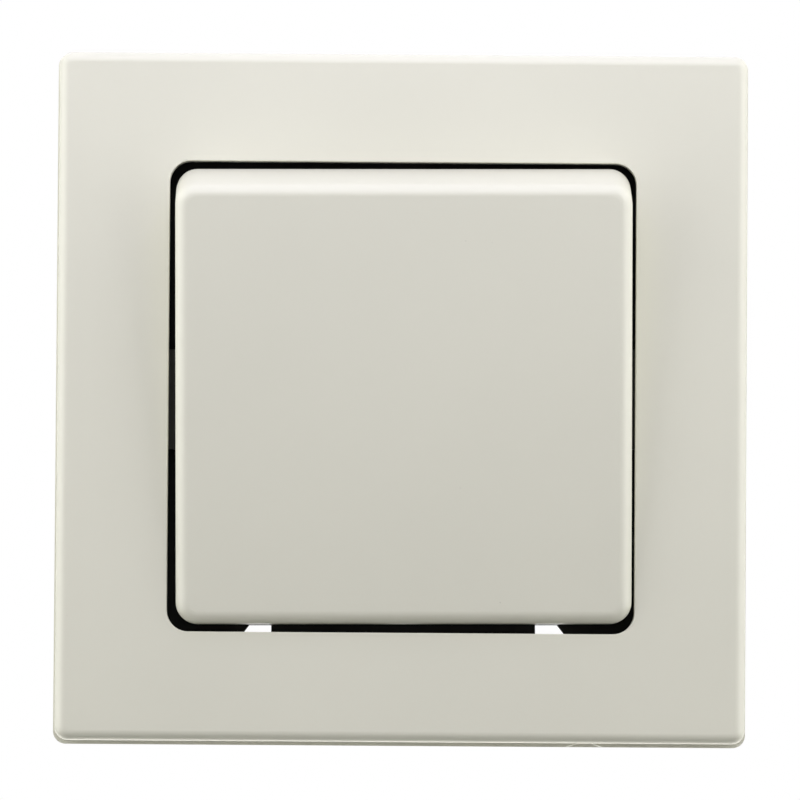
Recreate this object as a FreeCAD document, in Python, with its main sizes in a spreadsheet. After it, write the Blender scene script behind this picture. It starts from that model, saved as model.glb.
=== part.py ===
import FreeCAD, Part
import math
import os
import Sketcher

# Flush-mounted push button light switch: a square cover frame round one large rocker-shaped button,
# on a support ring that carries the contact insert behind it.
# X points right, Z up and Y into the wall. The origin is the centre of the support ring's front face.
# "Forward" below is the distance in front of that face, so it counts along -Y.

doc = FreeCAD.newDocument("push_button_light_switch")
sheet = doc.addObject("Spreadsheet::Sheet", "Sizes")

# Driving dimensions in millimetres, angles in degrees
sizes = {
    # cover frame
    "frame_side": 81.9,
    "frame_depth": 9.5,
    "frame_ledge": 0.45,
    "frame_corner": 1.5,
    "frame_wall": 2.0,
    "tier_depth": 1.2,
    "edge_round": 1.2,
    "face_wall": 2.2,
    "opening_width": 54.88,
    "opening_height": 55.36,
    "opening_corner": 2.5,
    "opening_round": 0.15,
    "collar_wall": 1.5,
    "collar_relief": 1.0,
    "collar_gap": 0.5,
    "rib_wall": 1.0,
    "rib_depth": 1.6,
    "rib_place": 14.0,
    "hook_place": 17.2,
    "hook_width": 2.0,
    "hook_wall": 1.1,
    "hook_catch": 0.75,
    "hook_nose": 1.0,
    "hook_gap": 0.2,
    "notch_place": 21.9,
    "notch_mouth": 4.6,
    "notch_floor": 1.6,
    "notch_depth": 0.8,
    "frame_skew": 0.39,
    "frame_shift": -0.2,
    # rocker button and its pivot
    "pivot_forward": 3.2,
    "rest_tilt": 6.0,
    "rocker_reach": 7.6,
    "rocker_depth": 7.2,
    "rocker_side_gap": 0.68,
    "rocker_head_gap": 0.58,
    "rocker_head_slope": 13.8,
    "rocker_foot_gap": 0.98,
    "rocker_foot_slope": 6.0,
    "rocker_corner": 2.5,
    "rocker_round": 1.55,
    "rocker_wall": 1.6,
    "rocker_face_wall": 1.8,
    "seat_rib_place": 6.0,
    "seat_rib_length": 24.0,
    "clip_margin": 3.0,
    "clip_width": 4.0,
    "clip_wall": 1.2,
    "clip_catch": 0.7,
    "clip_nose": 0.6,
    "clip_gap": 0.1,
    # carrier that the rocker clips on
    "carrier_gap": 1.1,
    "carrier_height": 22.0,
    "carrier_rear": 0.9,
    "carrier_front": 2.4,
    "carrier_window": 8.0,
    "trunnion_radius": 1.1,
    "trunnion_inset": 0.2,
    "trunnion_boss": 2.0,
    "bearing_clearance": 0.05,
    "finger_height": 10.0,
    "finger_width": 3.0,
    "finger_wall": 2.0,
    "finger_gap": 0.21,
    "peg_radius": 1.4,
    "peg_length": 1.7,
    # bearing cover
    "insert_width": 41.0,
    "insert_height": 38.0,
    "insert_corner": 2.0,
    "cover_wall": 1.6,
    "ear_margin": 5.4,
    "ear_height": 11.8,
    "head_clearance": 0.4,
    "cheek_margin": 0.3,
    "cheek_wall": 2.6,
    "cheek_radius": 2.4,
    "cheek_mouth": 1.7,
    "spring_place": 6.0,
    "spring_height": 9.0,
    "cup_radius": 2.8,
    "cup_wall": 1.0,
    "cup_floor": 1.0,
    "cup_depth": 2.4,
    "window_side_gap": 0.7,
    "window_low_gap": 1.4,
    "window_high_gap": 2.0,
    "leg_place": 5.5,
    "leg_margin": 3.3,
    "leg_width": 4.0,
    "leg_wall": 1.4,
    "leg_catch": 0.6,
    "leg_nose": 0.9,
    "leg_clearance": 0.3,
    # support ring
    "ring_margin": 3.0,
    "ring_corner": 5.0,
    "ring_plate": 1.0,
    "ring_rim": 1.5,
    "ring_flange": 1.0,
    "ring_seat": 2.0,
    "ring_cutout_corner": 3.0,
    "box_screw_spacing": 60.0,
    "box_hole_radius": 1.9,
    "hook_slot_gap": 0.6,
    "hook_slot_flare": 2.8,
    "hook_slot_clearance": 0.3,
    "lower_slot_reach": 2.2,
    "upper_slot_reach": 0.6,
    # base housing and terminal cover
    "base_depth": 17.0,
    "base_wall": 1.6,
    "base_front": 2.0,
    "rail_reach": 2.5,
    "rail_wall": 1.2,
    "rail_start": 3.0,
    "terminal_cover": 3.0,
    "spigot_depth": 1.5,
    "spigot_wall": 1.2,
    "spigot_clearance": 0.15,
    "wire_radius": 1.3,
    "wire_gap": 0.1,
    "wire_height": 5.0,
    # contacts
    "strip_wall": 0.8,
    "strip_start": 6.0,
    "strip_margin": 0.5,
    "strip_height": 16.0,
    "partition_wall": 1.2,
    "strip_offset": 8.7,
    "lever_forward": 9.0,
    "lever_wall": 0.8,
    "lever_width": 6.0,
    "lever_side_gap": 1.6,
    "lever_top": 12.8,
    "lever_axis": 7.0,
    "roll_radius": 0.9,
    "cradle_width": 3.4,
    "cradle_depth": 1.4,
    "rivet_radius": 1.8,
    "rivet_height": 1.2,
    "rivet_place": 6.0,
    "contact_gap": 1.55,
    # clamp springs and release levers
    "clamp_wall": 0.4,
    "clamp_width": 3.6,
    "clamp_front": 4.2,
    "clamp_inset": 1.0,
    "clamp_gap": 0.2,
    "release_wall": 1.8,
    "release_offset": 4.9,
    "release_foot": 1.8,
    "release_foot_front": 7.1,
    "release_span": 13.0,
    "release_stem": 3.0,
    "release_collar": 5.2,
    "release_collar_depth": 1.5,
    "release_clearance": 0.15,
    "release_stop": 0.3,
    "release_button": 1.2,
    # spreader claws and their screws
    "claw_offset": 3.5,
    "claw_width": 9.0,
    "claw_wall": 1.2,
    "claw_heel": 2.4,
    "claw_flange": 12.5,
    "claw_toe": 3.0,
    "claw_spread": 2.4,
    "claw_tip_depth": 5.9,
    "claw_rail_gap": 0.2,
    "claw_tooth": 1.5,
    "screw_radius": 1.5,
    "screw_length": 18.5,
    "screw_point": 1.0,
    "screw_head_radius": 2.5,
    "screw_head": 2.2,
    "screw_recess": 1.2,
    "screw_recess_width": 0.8,
    "screw_recess_span": 3.4,
    # return spring
    "coil_radius": 2.2,
    "coil_wire": 0.5,
    "coil_turns": 4.0,
    "coil_gap": 0.1,
}

for row, (alias, number) in enumerate(sizes.items(), start=1):
    sheet.set("A%d" % row, alias.replace("_", " "))
    sheet.set("B%d" % row, str(number))
    sheet.setAlias("B%d" % row, alias)
doc.recompute()


class Size:
    # A length that carries its number and the sheet expression that drives it
    def __init__(self, number, text):
        self.number = number
        self.text = text

    def __add__(self, other):
        other = as_size(other)
        return Size(self.number + other.number, "(%s + %s)" % (self.text, other.text))

    def __radd__(self, other):
        return as_size(other) + self

    def __sub__(self, other):
        other = as_size(other)
        return Size(self.number - other.number, "(%s - %s)" % (self.text, other.text))

    def __rsub__(self, other):
        return as_size(other) - self

    def __mul__(self, other):
        other = as_size(other)
        return Size(self.number * other.number, "(%s * %s)" % (self.text, other.text))

    def __rmul__(self, other):
        return as_size(other) * self

    def __truediv__(self, other):
        other = as_size(other)
        return Size(self.number / other.number, "(%s / %s)" % (self.text, other.text))

    def __neg__(self):
        return Size(-self.number, "(-1 * %s)" % self.text)


def as_size(value):
    if isinstance(value, Size):
        return value
    return Size(float(value), repr(float(value)))


def of(alias):
    return Size(float(sheet.get(alias)), "Sizes.%s" % alias)


def tangent(angle):
    return Size(math.tan(math.radians(angle.number)), "tan(%s * 1 deg)" % angle.text)


def sine(angle):
    return Size(math.sin(math.radians(angle.number)), "sin(%s * 1 deg)" % angle.text)


def cosine(angle):
    return Size(math.cos(math.radians(angle.number)), "cos(%s * 1 deg)" % angle.text)


def bind(target, prop, size):
    target.setExpression(prop, as_size(size).text)


# Sketch outlines: each returns a function that draws one closed, fully placed outline

def place(sketch, kind, geometry, point, size):
    size = as_size(size)
    index = sketch.addConstraint(Sketcher.Constraint(kind, -1, 1, geometry, point, size.number))
    bind(sketch, "Constraints[%d]" % index, size)


def polygon(corners):
    corners = [(as_size(a), as_size(b)) for a, b in corners]

    def draw(sketch):
        first = sketch.GeometryCount
        count = len(corners)
        points = [FreeCAD.Vector(a.number, b.number, 0) for a, b in corners]
        for i in range(count):
            sketch.addGeometry(Part.LineSegment(points[i], points[(i + 1) % count]))
        for i in range(count):
            following = first + (i + 1) % count
            sketch.addConstraint(Sketcher.Constraint("Coincident", first + i, 2, following, 1))
        for i, (a, b) in enumerate(corners):
            place(sketch, "DistanceX", first + i, 1, a)
            place(sketch, "DistanceY", first + i, 1, b)

    return draw


def rectangle(left, right, low, high):
    return polygon([(left, low), (right, low), (right, high), (left, high)])


def circle(across, up, radius):
    across, up, radius = as_size(across), as_size(up), as_size(radius)

    def draw(sketch):
        centre = FreeCAD.Vector(across.number, up.number, 0)
        index = sketch.addGeometry(Part.Circle(centre, FreeCAD.Vector(0, 0, 1), radius.number))
        place(sketch, "DistanceX", index, 3, across)
        place(sketch, "DistanceY", index, 3, up)
        ring = sketch.addConstraint(Sketcher.Constraint("Radius", index, radius.number))
        bind(sketch, "Constraints[%d]" % ring, radius)

    return draw


# A rectangle with round corners: four sides held by their distances, four tangent arcs of one radius
def rounded(width, height, corner, across=0, up=0):
    width, height, corner = as_size(width), as_size(height), as_size(corner)
    across, up = as_size(across), as_size(up)
    left, right = across - width / 2, across + width / 2
    low, high = up - height / 2, up + height / 2

    def draw(sketch):
        x0, x1, y0, y1 = left.number, right.number, low.number, high.number
        r = corner.number
        axis = FreeCAD.Vector(0, 0, 1)
        sides = [((x0 + r, y0), (x1 - r, y0)), ((x1, y0 + r), (x1, y1 - r)),
                 ((x1 - r, y1), (x0 + r, y1)), ((x0, y1 - r), (x0, y0 + r))]
        centres = [(x1 - r, y0 + r), (x1 - r, y1 - r), (x0 + r, y1 - r), (x0 + r, y0 + r)]
        first = sketch.GeometryCount
        for i in range(4):
            start, end = sides[i]
            sketch.addGeometry(Part.LineSegment(FreeCAD.Vector(*start, 0), FreeCAD.Vector(*end, 0)))
            ring = Part.Circle(FreeCAD.Vector(*centres[i], 0), axis, r)
            turn = (i - 1) * math.pi / 2
            sketch.addGeometry(Part.ArcOfCircle(ring, turn, turn + math.pi / 2))
        for i in range(4):
            side, arc, following = first + 2 * i, first + 2 * i + 1, first + 2 * ((i + 1) % 4)
            sketch.addConstraint(Sketcher.Constraint("Tangent", side, 2, arc, 1))
            sketch.addConstraint(Sketcher.Constraint("Tangent", arc, 2, following, 1))
            sketch.addConstraint(Sketcher.Constraint("Horizontal" if i % 2 == 0 else "Vertical", side))
        for i in range(1, 4):
            sketch.addConstraint(Sketcher.Constraint("Equal", first + 1, first + 2 * i + 1))
        radius = sketch.addConstraint(Sketcher.Constraint("Radius", first + 1, r))
        bind(sketch, "Constraints[%d]" % radius, corner)
        place(sketch, "DistanceY", first, 1, low)
        place(sketch, "DistanceX", first + 2, 1, right)
        place(sketch, "DistanceY", first + 4, 1, high)
        place(sketch, "DistanceX", first + 6, 1, left)

    return draw


# Bodies and their features

bodies = []


def new_body(label):
    body = doc.addObject("PartDesign::Body", label)
    body.Label = label
    bodies.append(body)
    return body


def new_sketch(body, name, outlines, role, lift):
    sketch = body.newObject("Sketcher::SketchObject", "%s_%s_sketch" % (body.Label, name))
    plane = next(f for f in body.Origin.OriginFeatures if f.Role == role)
    sketch.AttachmentSupport = [(plane, "")]
    sketch.MapMode = "FlatFace"
    bind(sketch, "AttachmentOffset.Base.z", lift)
    for draw in outlines:
        draw(sketch)
    return sketch


def feature(body, kind, name, sketch, length):
    made = body.newObject("PartDesign::" + kind, "%s_%s" % (body.Label, name))
    made.Profile = sketch
    bind(made, "Length", length)
    return made


# Along the depth: outlines across X and Z, from a rear to a front level (both counted forward)
def prism(body, name, outlines, rear, front):
    sketch = new_sketch(body, name, outlines, "XZ_Plane", rear)
    return feature(body, "Pad", name, sketch, front - rear)


def recess(body, name, outlines, rear, front):
    sketch = new_sketch(body, name, outlines, "XZ_Plane", front)
    return feature(body, "Pocket", name, sketch, front - rear)


# Along the width: outlines across Y and Z, from a left to a right place
def bar(body, name, outlines, left, right):
    sketch = new_sketch(body, name, outlines, "YZ_Plane", left)
    return feature(body, "Pad", name, sketch, right - left)


def cross_bore(body, name, outlines, left, right):
    sketch = new_sketch(body, name, outlines, "YZ_Plane", right)
    return feature(body, "Pocket", name, sketch, right - left)


# Along the height: outlines across X and Y, from a low to a high place
def column(body, name, outlines, low, high):
    sketch = new_sketch(body, name, outlines, "XY_Plane", low)
    return feature(body, "Pad", name, sketch, high - low)


def turned(body, name, outline):
    sketch = new_sketch(body, name, [outline], "XY_Plane", 0)
    made = body.newObject("PartDesign::Revolution", "%s_%s" % (body.Label, name))
    made.Profile = sketch
    made.ReferenceAxis = (sketch, ["V_Axis"])
    made.Angle = 360
    return made


# Rounds those edges of the body so far whose bounding box is chosen
def round_edges(body, name, radius, chosen):
    doc.recompute()
    base = body.Tip
    names = ["Edge%d" % i for i, edge in enumerate(base.Shape.Edges, start=1) if chosen(edge.BoundBox)]
    made = body.newObject("PartDesign::Fillet", "%s_%s" % (body.Label, name))
    made.Base = (base, names)
    bind(made, "Radius", radius)
    return made


# Chooses edges that run from a rear to a front level, inside a half width and height
def between(rear, front, half_width, half_height):
    def chosen(box):
        depth = abs(box.YMin + front.number) < 1e-4 and abs(box.YMax + rear.number) < 1e-4
        across = max(abs(box.XMin), abs(box.XMax)) < half_width.number + 0.05
        up = max(abs(box.ZMin), abs(box.ZMax)) < half_height.number + 0.05
        return depth and across and up

    return chosen


def stand(body, axis, angle, across=0, back=0, up=0):
    body.Placement = FreeCAD.Placement(FreeCAD.Vector(0, 0, 0), FreeCAD.Rotation(axis, as_size(angle).number))
    body.setExpression("Placement.Rotation.Angle", "%s * 1 deg" % as_size(angle).text)
    bind(body, "Placement.Base.x", across)
    bind(body, "Placement.Base.y", back)
    bind(body, "Placement.Base.z", up)


across_axis = FreeCAD.Vector(1, 0, 0)
depth_axis = FreeCAD.Vector(0, 1, 0)
signs = (-1, 1)
side_names = {-1: "left", 1: "right"}
level_names = {-1: "lower", 1: "upper"}

# Levels that several pieces share, counted forward from the support ring's front face
wall_level = -(of("ring_plate") + of("ring_rim"))
frame_face = wall_level + of("frame_depth")
frame_ceiling = frame_face - of("face_wall")
collar_rear = of("cover_wall") + of("collar_gap")
base_front = -of("ring_plate")
base_floor = base_front - of("base_front")
base_rear = base_front - of("base_depth")
terminal_rear = base_rear - of("terminal_cover")
strip_end = -base_rear - of("spigot_depth") - of("strip_margin")

# Places that several pieces share, counted from the middle
insert_half = of("insert_width") / 2
claw_axis = insert_half + of("claw_offset")
cheek_outer = insert_half - of("cheek_margin")
cheek_inner = cheek_outer - of("cheek_wall")
carrier_half = cheek_inner - of("carrier_gap")
strip_inner = insert_half - of("strip_offset")
strip_outer = strip_inner + of("strip_wall")
finger_middle = strip_inner - of("partition_wall") - of("lever_side_gap") - of("lever_width") / 2
wire_axis = strip_outer + of("wire_radius") + of("wire_gap")
release_near = insert_half - of("release_offset")
leg_middle = of("insert_height") / 2 - of("leg_margin")
frame_inner = of("frame_side") - 2 * of("frame_ledge") - 2 * of("frame_wall")
relief_height = of("opening_height") + 2 * of("collar_relief")
hook_inner = relief_height / 2 + (of("collar_wall") - of("hook_wall")) / 2
hook_outer = hook_inner + of("hook_wall")


# The finger's opening, the same in the bearing cover and the base
def finger_window():
    half = of("finger_width") / 2 + of("window_side_gap")
    low = of("finger_height") - of("finger_wall") / 2 - of("window_low_gap")
    high = of("finger_height") + of("finger_wall") / 2 + of("window_high_gap")
    return rectangle(-finger_middle - half, -finger_middle + half, low, high)


# Cover frame: two-tiered square plate, hollow behind, with a collar round the opening
def make_cover_frame():
    body = new_body("cover_frame")
    half = of("frame_side") / 2
    upper_side = of("frame_side") - 2 * of("frame_ledge")
    tier_front = wall_level + of("tier_depth")
    outline = rounded(of("frame_side"), of("frame_side"), of("frame_corner"))
    prism(body, "rear_tier", [outline], wall_level, tier_front)
    prism(body, "front_tier", [rounded(upper_side, upper_side, of("frame_corner"))], tier_front, frame_face)
    round_edges(body, "edge_round", of("edge_round"), between(frame_face, frame_face, half, half))
    recess(body, "hollow", [rounded(frame_inner, frame_inner, of("frame_corner"))], wall_level, frame_ceiling)
    relief_width = of("opening_width") + 2 * of("collar_relief")
    collar_width = relief_width + 2 * of("collar_wall")
    collar_height = relief_height + 2 * of("collar_wall")
    inside = rounded(relief_width, relief_height, of("opening_corner") + of("collar_relief"))
    outside = rounded(collar_width, collar_height,
                      of("opening_corner") + of("collar_relief") + of("collar_wall"))
    prism(body, "collar", [outside, inside], collar_rear, frame_ceiling)
    # stiffening ribs between the collar and the outer wall
    grip = of("collar_wall") / 2
    ribs = []
    for side in signs:
        for place_sign in signs:
            near = place_sign * of("rib_place") - of("rib_wall") / 2
            far = near + of("rib_wall")
            ribs.append(rectangle(near, far, side * (collar_height / 2 - grip), side * (frame_inner / 2 + grip)))
            ribs.append(rectangle(side * (collar_width / 2 - grip), side * (frame_inner / 2 + grip), near, far))
    prism(body, "ribs", ribs, frame_ceiling - of("rib_depth"), frame_ceiling)
    opening = rounded(of("opening_width"), of("opening_height"), of("opening_corner"))
    recess(body, "opening", [opening], frame_ceiling, frame_face)
    round_edges(body, "opening_round", of("opening_round"),
                between(frame_face, frame_face, of("opening_width") / 2, of("opening_height") / 2))
    # four snap hooks run on from the collar through the ring and catch behind its plate
    catch_start = of("ring_plate") + of("hook_gap")
    hook_end = catch_start + of("hook_nose")
    for side in signs:
        for level in signs:
            profile = polygon([(-collar_rear, level * hook_inner), (hook_end, level * hook_inner),
                               (hook_end, level * hook_outer),
                               (catch_start, level * (hook_outer + of("hook_catch"))),
                               (catch_start, level * hook_outer), (-collar_rear, level * hook_outer)])
            middle = side * of("hook_place")
            bar(body, "hook_%s_%s" % (level_names[level], side_names[side]), [profile],
                middle - of("hook_width") / 2, middle + of("hook_width") / 2)
    # shallow notch in the lower ledge, where a screwdriver lifts the frame off
    mouth, floor = of("notch_mouth") / 2, of("notch_floor") / 2
    ledge_top = of("frame_ledge") - half
    notch = polygon([(of("notch_place") - mouth, -half), (of("notch_place") + mouth, -half),
                     (of("notch_place") + floor, ledge_top), (of("notch_place") - floor, ledge_top)])
    recess(body, "notch", [notch], tier_front - of("notch_depth"), tier_front)
    # the frame sits slightly turned and off centre on its insert
    stand(body, depth_axis, of("frame_skew"), across=of("frame_shift"))


# Rocker button: a shell with sloped ends, the head more than the foot, drawn about its pivot and tilted
# to its rest position
def make_rocker():
    body = new_body("rocker")
    front = of("rocker_reach")
    rear = front - of("rocker_depth")
    ceiling = front - of("rocker_face_wall")
    half_width = of("opening_width") / 2 - of("rocker_side_gap")
    middle_height = of("opening_height") / 2
    head_slope = tangent(of("rocker_head_slope"))
    head_skirt = middle_height - of("rocker_head_gap")
    head_height = head_skirt - of("rocker_depth") * head_slope
    foot_slope = tangent(of("rocker_foot_slope"))
    foot_skirt = middle_height - of("rocker_foot_gap")
    foot_height = foot_skirt - of("rocker_depth") * foot_slope
    profile = polygon([(-front, -foot_height), (-rear, -foot_skirt), (-rear, head_skirt), (-front, head_height)])
    bar(body, "block", [profile], -half_width, half_width)
    round_edges(body, "corner_round", of("rocker_corner"), between(rear, front, half_width, middle_height))
    round_edges(body, "edge_round", of("rocker_round"), between(front, front, half_width, middle_height))
    wall = of("rocker_wall")
    head_inner = head_height + of("rocker_face_wall") * head_slope - wall
    foot_inner = foot_height + of("rocker_face_wall") * foot_slope - wall
    hollow = polygon([(-ceiling, -foot_inner), (-rear, wall - foot_skirt),
                      (-rear, head_skirt - wall), (-ceiling, head_inner)])
    cross_bore(body, "hollow", [hollow], wall - half_width, half_width - wall)
    # ribs that rest on the carrier, and four clips that snap behind it
    half = of("carrier_height") / 2
    ribs = [rectangle(-of("seat_rib_length") / 2, of("seat_rib_length") / 2,
                      level * of("seat_rib_place") - of("clip_wall") / 2,
                      level * of("seat_rib_place") + of("clip_wall") / 2) for level in signs]
    prism(body, "seat_ribs", ribs, of("carrier_front"), ceiling)
    clip_top = of("carrier_rear") - of("clip_gap")
    clip_end = clip_top - of("clip_nose")
    for side in signs:
        for level in signs:
            middle = side * (carrier_half - of("clip_margin"))
            inner = half + of("clip_gap")
            profile = polygon([(-ceiling, level * inner), (-clip_top, level * inner),
                               (-clip_top, level * (inner - of("clip_catch"))), (-clip_end, level * inner),
                               (-clip_end, level * (inner + of("clip_wall"))),
                               (-ceiling, level * (inner + of("clip_wall")))])
            bar(body, "clip_%s_%s" % (level_names[level], side_names[side]), [profile],
                middle - of("clip_width") / 2, middle + of("clip_width") / 2)
    stand(body, across_axis, of("rest_tilt"), back=-of("pivot_forward"))


# Carrier: turns on two trunnions, carries the rocker and reaches back to the contact with one finger
def make_rocker_carrier():
    body = new_body("rocker_carrier")
    half_height = of("carrier_height") / 2
    window = of("carrier_window") / 2
    plate = rectangle(-carrier_half, carrier_half, -half_height, half_height)
    prism(body, "plate", [plate, rectangle(-window, window, -window, window)],
          of("carrier_rear"), of("carrier_front"))
    radius = of("trunnion_radius")
    for side in signs:
        near = side * carrier_half
        boss_inner = side * (carrier_half - of("trunnion_boss"))
        pin_end = side * (cheek_outer - of("trunnion_inset"))
        low, high = (near, boss_inner) if side < 0 else (boss_inner, near)
        boss = rectangle(-of("carrier_front"), radius, -radius, radius)
        bar(body, "boss_" + side_names[side], [boss], low, high)
        low, high = (pin_end, near) if side < 0 else (near, pin_end)
        bar(body, "trunnion_" + side_names[side], [circle(0, 0, radius)], low, high)
    finger = rectangle(-finger_middle - of("finger_width") / 2, -finger_middle + of("finger_width") / 2,
                       of("finger_height") - of("finger_wall") / 2, of("finger_height") + of("finger_wall") / 2)
    # the finger ends just in front of the contact lever when the carrier is tilted to rest
    tilt = of("rest_tilt")
    reach = of("lever_forward") + of("pivot_forward") - of("finger_gap")
    reach = (reach + (of("finger_height") - of("finger_wall") / 2) * sine(tilt)) / cosine(tilt)
    prism(body, "finger", [finger], -reach, of("carrier_rear"))
    peg = circle(of("spring_place"), of("spring_height"), of("peg_radius"))
    prism(body, "spring_peg", [peg], of("carrier_rear") - of("peg_length"), of("carrier_rear"))
    stand(body, across_axis, of("rest_tilt"), back=-of("pivot_forward"))


# Bearing cover: front plate of the insert, with the cheeks that hold the trunnions and the spring cup
def make_bearing_cover():
    body = new_body("bearing_cover")
    front = of("cover_wall")
    prism(body, "plate", [rounded(of("insert_width"), of("insert_height"), of("insert_corner"))], as_size(0), front)
    ear_start = insert_half - of("insert_corner")
    for side in signs:
        near, far = side * ear_start, side * (claw_axis + of("ear_margin"))
        prism(body, "ear_" + side_names[side],
              [rectangle(near, far, -of("ear_height") / 2, of("ear_height") / 2)], as_size(0), front)
    ear_hole = of("screw_head_radius") + of("head_clearance")
    holes = [circle(side * claw_axis, 0, ear_hole) for side in signs]
    recess(body, "ear_holes", holes, as_size(0), front)
    pivot = of("pivot_forward")
    bearing = of("trunnion_radius") + of("bearing_clearance")
    radius = of("cheek_radius")
    for side in signs:
        inner = side * cheek_inner
        outer = side * cheek_outer
        low, high = (outer, inner) if side < 0 else (inner, outer)
        name = side_names[side]
        bar(body, "cheek_" + name, [rectangle(-pivot, -front, -radius, radius)], low, high)
        bar(body, "cheek_crown_" + name, [circle(-pivot, 0, radius)], low, high)
        cross_bore(body, "bearing_" + name, [circle(-pivot, 0, bearing)], low, high)
        mouth = of("cheek_mouth") / 2
        slot = rectangle(-pivot - radius, -pivot, -mouth, mouth)
        cross_bore(body, "mouth_" + name, [slot], low, high)
    cup_x, cup_z = of("spring_place"), of("spring_height")
    cup_rear = -of("cup_depth") - of("cup_floor")
    prism(body, "spring_cup", [circle(cup_x, cup_z, of("cup_radius") + of("cup_wall"))], cup_rear, as_size(0))
    recess(body, "spring_seat", [circle(cup_x, cup_z, of("cup_radius"))], -of("cup_depth"), front)
    recess(body, "finger_window", [finger_window()], as_size(0), front)
    # snap legs run through the ring and catch behind the base's front wall
    inner = leg_middle - of("leg_wall") / 2
    outer = leg_middle + of("leg_wall") / 2
    catch_start = -base_floor + of("hook_gap")
    leg_end = catch_start + of("leg_nose")
    for side in signs:
        for level in signs:
            middle = side * of("leg_place")
            profile = polygon([(0, level * inner), (leg_end, level * inner), (leg_end, level * outer),
                               (catch_start, level * (outer + of("leg_catch"))),
                               (catch_start, level * outer), (0, level * outer)])
            bar(body, "leg_%s_%s" % (level_names[level], side_names[side]), [profile],
                middle - of("leg_width") / 2, middle + of("leg_width") / 2)


# Support ring: stamped steel plate with a rim turned back to the wall
def make_support_ring():
    body = new_body("support_ring")
    plate_rear = -of("ring_plate")
    side_length = frame_inner - 2 * of("ring_margin")
    prism(body, "plate", [rounded(side_length, side_length, of("ring_corner"))], wall_level, as_size(0))
    inner = side_length - 2 * of("ring_flange")
    recess(body, "rim", [rounded(inner, inner, of("ring_corner") - of("ring_flange"))], wall_level, plate_rear)
    cutout_side = of("insert_height") - 2 * of("ring_seat")
    cutout = rounded(cutout_side, cutout_side, of("ring_cutout_corner"))
    claw_hole = of("screw_radius") + of("bearing_clearance")
    holes = [circle(side * claw_axis, 0, claw_hole) for side in signs]
    for level in signs:
        holes.append(circle(0, level * of("box_screw_spacing") / 2, of("box_hole_radius")))
    recess(body, "cutout", [cutout] + holes, plate_rear, as_size(0))
    # hook slots, the lower two longer so that a screwdriver can reach in
    slots = []
    for side in signs:
        for level in signs:
            low = hook_inner - of("%s_slot_reach" % level_names[level])
            high = hook_outer + of("hook_slot_clearance")
            near = of("hook_place") - of("hook_width") / 2 - of("hook_slot_gap")
            far = of("hook_place") + of("hook_width") / 2
            slots.append(polygon([(side * near, level * low), (side * far, level * low),
                                  (side * (far + of("hook_slot_flare")), level * high),
                                  (side * near, level * high)]))
    recess(body, "hook_slots", slots, plate_rear, as_size(0))


# Base housing: tub behind the ring, open to the rear, with guide rails for the claws on its sides
def make_base_housing():
    body = new_body("base_housing")
    prism(body, "block", [rounded(of("insert_width"), of("insert_height"), of("insert_corner"))],
          base_rear, base_front)
    width = of("insert_width") - 2 * of("base_wall")
    height = of("insert_height") - 2 * of("base_wall")
    recess(body, "chamber", [rounded(width, height, of("insert_corner") / 2)], base_rear, base_floor)
    gap = of("leg_clearance")
    cup = circle(of("spring_place"), of("spring_height"), of("cup_radius") + of("cup_wall") + gap)
    slots = []
    for side in signs:
        for level in signs:
            middle = side * of("leg_place")
            half = of("leg_width") / 2 + gap
            inner = leg_middle - of("leg_wall") / 2 - gap
            outer = leg_middle + of("leg_wall") / 2 + gap
            slots.append(rectangle(middle - half, middle + half, level * inner, level * outer))
    recess(body, "front_openings", [finger_window(), cup] + slots, base_floor, base_front)
    # partitions that back the two contact strips
    place_inner = strip_inner - of("partition_wall")
    half = of("strip_height") / 2
    foot_low = of("rivet_place") - of("rivet_radius") - of("strip_wall")
    partitions = [rectangle(-strip_inner, -place_inner, -half, half),
                  rectangle(place_inner, strip_inner, -half, foot_low)]
    prism(body, "partitions", partitions, -strip_end, base_floor)
    # guide rails
    rails = []
    for side in signs:
        for level in signs:
            inner = of("claw_width") / 2 + of("claw_rail_gap")
            rails.append(rectangle(side * (insert_half - of("base_wall") / 2), side * (insert_half + of("rail_reach")),
                                   level * inner, level * (inner + of("rail_wall"))))
    prism(body, "claw_rails", rails, base_rear + of("base_wall"), base_front - of("rail_start"))


# Terminal cover: closes the base at the back and takes the wires and the release levers
def make_terminal_cover():
    body = new_body("terminal_cover")
    prism(body, "plate", [rounded(of("insert_width"), of("insert_height"), of("insert_corner"))],
          terminal_rear, base_rear)
    width = of("insert_width") - 2 * of("base_wall") - 2 * of("spigot_clearance")
    height = of("insert_height") - 2 * of("base_wall") - 2 * of("spigot_clearance")
    corner = of("insert_corner") / 2
    spigot = [rounded(width, height, corner),
              rounded(width - 2 * of("spigot_wall"), height - 2 * of("spigot_wall"), corner)]
    prism(body, "spigot", spigot, base_rear, base_rear + of("spigot_depth"))
    openings = []
    for side in signs:
        for level in signs:
            openings.append(circle(side * wire_axis, level * of("wire_height"), of("wire_radius")))
        near = side * (release_near - of("release_clearance"))
        far = side * (release_near + of("release_wall") + of("release_clearance"))
        half = of("release_stem") / 2 + of("release_clearance")
        openings.append(rectangle(near, far, -half, half))
    recess(body, "openings", openings, terminal_rear, base_rear)


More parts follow.
